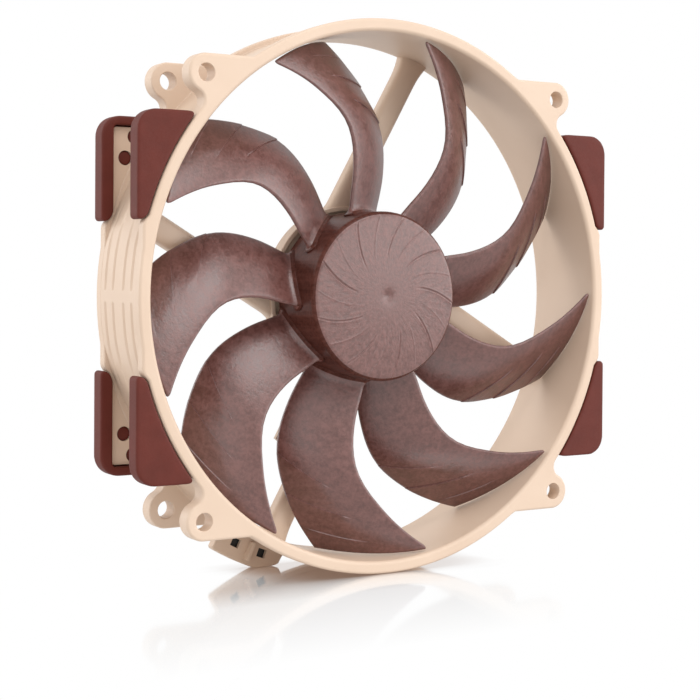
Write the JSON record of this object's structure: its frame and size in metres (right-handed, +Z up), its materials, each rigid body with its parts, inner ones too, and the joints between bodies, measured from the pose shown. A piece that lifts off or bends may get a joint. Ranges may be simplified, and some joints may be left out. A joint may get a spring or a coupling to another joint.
{
  "type": "case fan",
  "caption": "Round computer case fan with a ring frame, corner mounting lugs, soft corner pads and a swept-blade impeller that spins on a short shaft.",
  "frame": {"origin": "on the rotation axis, halfway through the 25 mm depth", "axes": "Y is the rotation axis, with the intake face towards -Y; +Z is up as the fan stands; +X is right seen from the intake side"},
  "size_m": [0.14, 0.025, 0.139],
  "materials": {
    "frame_plastic": "satin moulded fan frame, beige",
    "black_rubber": "black rubber",
    "pad_silicone": "matt silicone rubber, red-brown",
    "impeller_plastic": "satin glass-filled moulding, dark brown with flow marks",
    "steel": "drawn steel",
    "ferrite": "pressed ferrite",
    "brass": "turned brass",
    "shaft_steel": "ground and polished steel",
    "nylon": "natural nylon",
    "bronze": "sintered bronze, oiled",
    "copper_winding": "enamelled copper wire",
    "circuit_board": "green solder resist",
    "black_epoxy": "moulded black epoxy",
    "label_film": "plain brown film, no lettering"
  },
  "bodies": {
    "housing": {"frame": "frame_plastic", "lead_grommet": "black_rubber", "pad_front_top_left": "pad_silicone", "pad_rear_top_left": "pad_silicone", "pad_front_top_right": "pad_silicone", "pad_rear_top_right": "pad_silicone", "pad_front_bottom_left": "pad_silicone", "pad_rear_bottom_left": "pad_silicone", "pad_front_bottom_right": "pad_silicone", "pad_rear_bottom_right": "pad_silicone", "bearing_seal": "black_rubber", "bearing_sleeve": "bronze", "bearing_shell": "brass", "centring_magnet": "ferrite", "thrust_pad": "nylon", "stator_core": "steel", "insulator_front": "nylon", "insulator_rear": "nylon", "coil_1": "copper_winding", "coil_2": "copper_winding", "coil_3": "copper_winding", "coil_4": "copper_winding", "circuit_board": "circuit_board", "driver_chip": "black_epoxy", "hall_sensor": "black_epoxy", "capacitor_1": "nylon", "capacitor_2": "nylon", "rear_label": "label_film"},
    "rotor": {"impeller": "impeller_plastic", "rotor_yoke": "steel", "rotor_magnet": "ferrite", "hub_insert": "brass", "shaft": "shaft_steel", "retaining_clip": "nylon"}
  },
  "joints": [
    {"name": "rotor_spin", "type": "hinge", "parent": "housing", "child": "rotor", "pos_m": [0, 0, 0], "axis": [0, -1, 0], "continuous": true}
  ]
}
